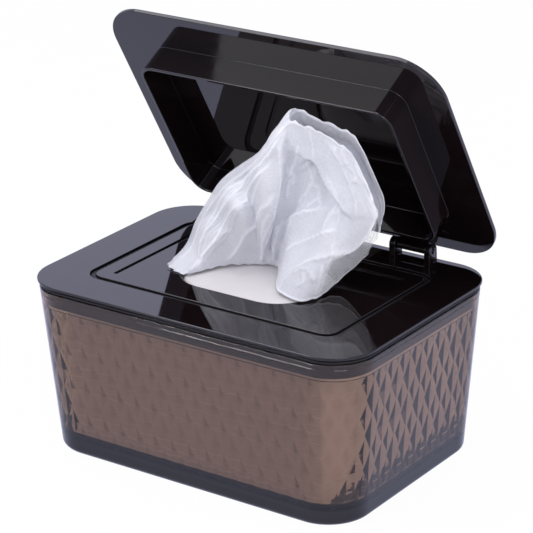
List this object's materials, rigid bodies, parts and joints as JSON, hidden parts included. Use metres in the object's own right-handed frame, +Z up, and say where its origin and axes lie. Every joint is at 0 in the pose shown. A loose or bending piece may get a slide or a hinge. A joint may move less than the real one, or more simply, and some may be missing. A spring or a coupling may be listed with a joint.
{
  "type": "countertop wipes dispenser",
  "caption": "Tapered see-through bin with a folded stack of wipes, a lift-off cover with an oval opening, and a hinged lid standing open over a pulled-up wipe.",
  "frame": {"origin": "middle of the footprint, on the table", "axes": "+X to the right along the long side, +Y from the front towards the hinge, +Z up"},
  "size_m": [0.19, 0.1365, 0.2062],
  "materials": {
    "smoky_clear": "clear smoky plastic, polished outside, diamond relief inside",
    "dark_gloss": "very dark brown-black plastic with a mirror gloss",
    "black_silicone": "satin black silicone",
    "pin_steel": "drawn steel wire",
    "wipe_cloth": "soft white non-woven cloth"
  },
  "bodies": {
    "bin_body": {"bin": "smoky_clear", "wipes_stack": "wipe_cloth"},
    "cover_body": {"cover": "dark_gloss", "cover_gasket": "black_silicone", "lid_seal": "black_silicone", "hinge_pin_left": "pin_steel", "hinge_pin_right": "pin_steel", "pulled_wipe": "wipe_cloth"},
    "lid_body": {"lid": "dark_gloss"}
  },
  "joints": [
    {"name": "cover_lift", "type": "slide", "parent": "bin_body", "child": "cover_body", "axis": [0, 0, 1], "range_m": [0, 0.04]},
    {"name": "lid_hinge", "type": "hinge", "parent": "cover_body", "child": "lid_body", "pos_m": [0, 0.0595, 0.0929], "axis": [-1, 0, 0], "range_deg": [-60.6, 19.4], "deforming": ["pulled_wipe"]}
  ]
}
